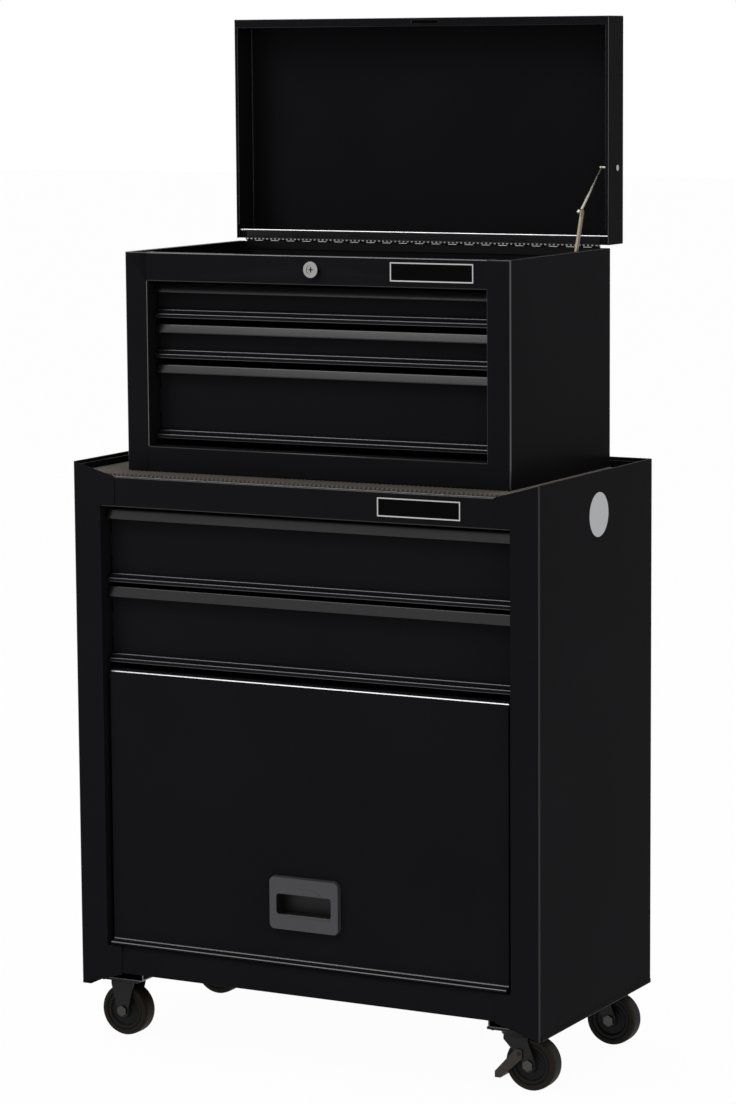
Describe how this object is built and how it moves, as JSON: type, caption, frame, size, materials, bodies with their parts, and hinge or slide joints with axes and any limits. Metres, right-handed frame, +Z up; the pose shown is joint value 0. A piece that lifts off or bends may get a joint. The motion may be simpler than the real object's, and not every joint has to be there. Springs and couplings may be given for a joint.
{
  "type": "tool chest and cabinet combo",
  "caption": "Steel tool chest with a lift-up lid and drawers, standing on a rolling cabinet with drawers, a lift-up door and casters.",
  "frame": {"origin": "on the floor, under the middle of the cabinet's width and depth", "axes": "+Z up; +X to the right as one faces the drawers; +Y to the back, so the drawers pull out towards -Y"},
  "size_m": [0.6775, 0.377, 1.3436],
  "materials": {
    "frame_paint": "baked enamel, glossy black",
    "mat_rubber": "matt, fine texture",
    "slide_steel": "zinc plated, satin",
    "bright_steel": "zinc plated, bright",
    "lock_chrome": "polished",
    "caster_steel": "dark plated, satin",
    "hub_plastic": "moulded, satin",
    "tyre_rubber": "matt",
    "black_plastic": "moulded, fine texture"
  },
  "bodies": {
    "carcass": {"cabinet_back": "frame_paint", "cabinet_bottom_rail": "frame_paint", "cabinet_floor_pan": "frame_paint", "cabinet_left_side": "frame_paint", "cabinet_right_side": "frame_paint", "cabinet_slide_rails": "slide_steel", "cabinet_top_rail": "frame_paint", "cabinet_top_tray": "frame_paint", "caster_channels": "frame_paint", "chest_back": "frame_paint", "chest_base_pan": "frame_paint", "chest_front_rail": "frame_paint", "chest_left_side": "frame_paint", "chest_right_side": "frame_paint", "chest_slide_rails": "slide_steel", "chest_till_floor": "frame_paint", "door_pivot_pins": "bright_steel", "hinge_leaf_chest": "bright_steel", "hinge_pin": "bright_steel", "lock_housing": "lock_chrome", "rigid_caster_axles": "bright_steel", "rigid_caster_forks": "caster_steel", "swivel_caster_plates": "caster_steel", "tray_mat": "mat_rubber"},
    "lid": {"lid_shell": "frame_paint", "hinge_leaf_lid": "bright_steel"},
    "lid_stay_rod": {"stay_rod": "bright_steel"},
    "lid_stay_bar": {"stay_bar": "bright_steel"},
    "lock_core": {"lock_plug": "lock_chrome"},
    "door": {"door_panel": "frame_paint", "door_handle": "black_plastic"},
    "cabinet_drawer_one": {"cabinet_drawer_one_front": "frame_paint", "cabinet_drawer_one_tray": "frame_paint", "cabinet_drawer_one_slides": "slide_steel"},
    "cabinet_drawer_two": {"cabinet_drawer_two_front": "frame_paint", "cabinet_drawer_two_tray": "frame_paint", "cabinet_drawer_two_slides": "slide_steel"},
    "chest_drawer_one": {"chest_drawer_one_front": "frame_paint", "chest_drawer_one_tray": "frame_paint", "chest_drawer_one_slides": "slide_steel"},
    "chest_drawer_two": {"chest_drawer_two_front": "frame_paint", "chest_drawer_two_tray": "frame_paint", "chest_drawer_two_slides": "slide_steel"},
    "chest_drawer_three": {"chest_drawer_three_front": "frame_paint", "chest_drawer_three_tray": "frame_paint", "chest_drawer_three_slides": "slide_steel"},
    "swivel_front": {"swivel_front_fork": "caster_steel", "swivel_front_axle": "bright_steel"},
    "swivel_rear": {"swivel_rear_fork": "caster_steel", "swivel_rear_axle": "bright_steel"},
    "rigid_front_wheel": {"rigid_front_wheel_hub": "hub_plastic", "rigid_front_wheel_tyre": "tyre_rubber"},
    "rigid_rear_wheel": {"rigid_rear_wheel_hub": "hub_plastic", "rigid_rear_wheel_tyre": "tyre_rubber"},
    "swivel_front_wheel": {"swivel_front_wheel_hub": "hub_plastic", "swivel_front_wheel_tyre": "tyre_rubber"},
    "swivel_rear_wheel": {"swivel_rear_wheel_hub": "hub_plastic", "swivel_rear_wheel_tyre": "tyre_rubber"},
    "brake": {"brake_pedal": "bright_steel"}
  },
  "joints": [
    {"name": "lid_hinge", "type": "hinge", "parent": "carcass", "child": "lid", "pos_m": [0, 0.1633, 1.0483], "axis": [1, 0, 0], "range_deg": [0, 90]},
    {"name": "stay_rod_pivot", "type": "hinge", "parent": "lid", "child": "lid_stay_rod", "pos_m": [0.277, 0.1865, 1.148], "axis": [1, 0, 0], "range_deg": [-69.93, 0]},
    {"name": "stay_bar_pivot", "type": "hinge", "parent": "carcass", "child": "lid_stay_bar", "pos_m": [0.26, 0.0915, 1.02], "axis": [1, 0, 0], "range_deg": [0, 127.68]},
    {"name": "lock_turn", "type": "hinge", "parent": "carcass", "child": "lock_core", "pos_m": [0, -0.1285, 1.0277], "axis": [0, -1, 0], "range_deg": [0, 90]},
    {"name": "door_hinge", "type": "hinge", "parent": "carcass", "child": "door", "pos_m": [0, -0.152, 0.489], "axis": [-1, 0, 0], "range_deg": [0, 90]},
    {"name": "cabinet_drawer_one_slide", "type": "slide", "parent": "carcass", "child": "cabinet_drawer_one", "axis": [0, -1, 0], "range_m": [0, 0.24]},
    {"name": "cabinet_drawer_two_slide", "type": "slide", "parent": "carcass", "child": "cabinet_drawer_two", "axis": [0, -1, 0], "range_m": [0, 0.24]},
    {"name": "chest_drawer_one_slide", "type": "slide", "parent": "carcass", "child": "chest_drawer_one", "axis": [0, -1, 0], "range_m": [0, 0.2]},
    {"name": "chest_drawer_two_slide", "type": "slide", "parent": "carcass", "child": "chest_drawer_two", "axis": [0, -1, 0], "range_m": [0, 0.2]},
    {"name": "chest_drawer_three_slide", "type": "slide", "parent": "carcass", "child": "chest_drawer_three", "axis": [0, -1, 0], "range_m": [0, 0.2]},
    {"name": "swivel_front_turn", "type": "hinge", "parent": "carcass", "child": "swivel_front", "pos_m": [0.2835, -0.122, 0.073], "axis": [0, 0, 1], "continuous": true},
    {"name": "swivel_rear_turn", "type": "hinge", "parent": "carcass", "child": "swivel_rear", "pos_m": [0.2835, 0.122, 0.073], "axis": [0, 0, 1], "continuous": true},
    {"name": "brake_press", "type": "hinge", "parent": "swivel_front", "child": "brake", "pos_m": [0.2935, -0.14, 0.0485], "axis": [0, -1, 0], "range_deg": [0, 12]},
    {"name": "rigid_front_wheel_spin", "type": "hinge", "parent": "carcass", "child": "rigid_front_wheel", "pos_m": [-0.2945, -0.122, 0.0345], "axis": [0, 1, 0], "continuous": true},
    {"name": "rigid_rear_wheel_spin", "type": "hinge", "parent": "carcass", "child": "rigid_rear_wheel", "pos_m": [-0.2945, 0.122, 0.0345], "axis": [0, 1, 0], "continuous": true},
    {"name": "swivel_front_wheel_spin", "type": "hinge", "parent": "swivel_front", "child": "swivel_front_wheel", "pos_m": [0.3055, -0.122, 0.0345], "axis": [0, 1, 0], "continuous": true},
    {"name": "swivel_rear_wheel_spin", "type": "hinge", "parent": "swivel_rear", "child": "swivel_rear_wheel", "pos_m": [0.3055, 0.122, 0.0345], "axis": [0, 1, 0], "continuous": true}
  ],
  "couplings": [
    {"joint": "stay_rod_pivot", "follows": "lid_hinge", "ratio": -0.7759},
    {"joint": "stay_bar_pivot", "follows": "lid_hinge", "ratio": 1.4176}
  ]
}
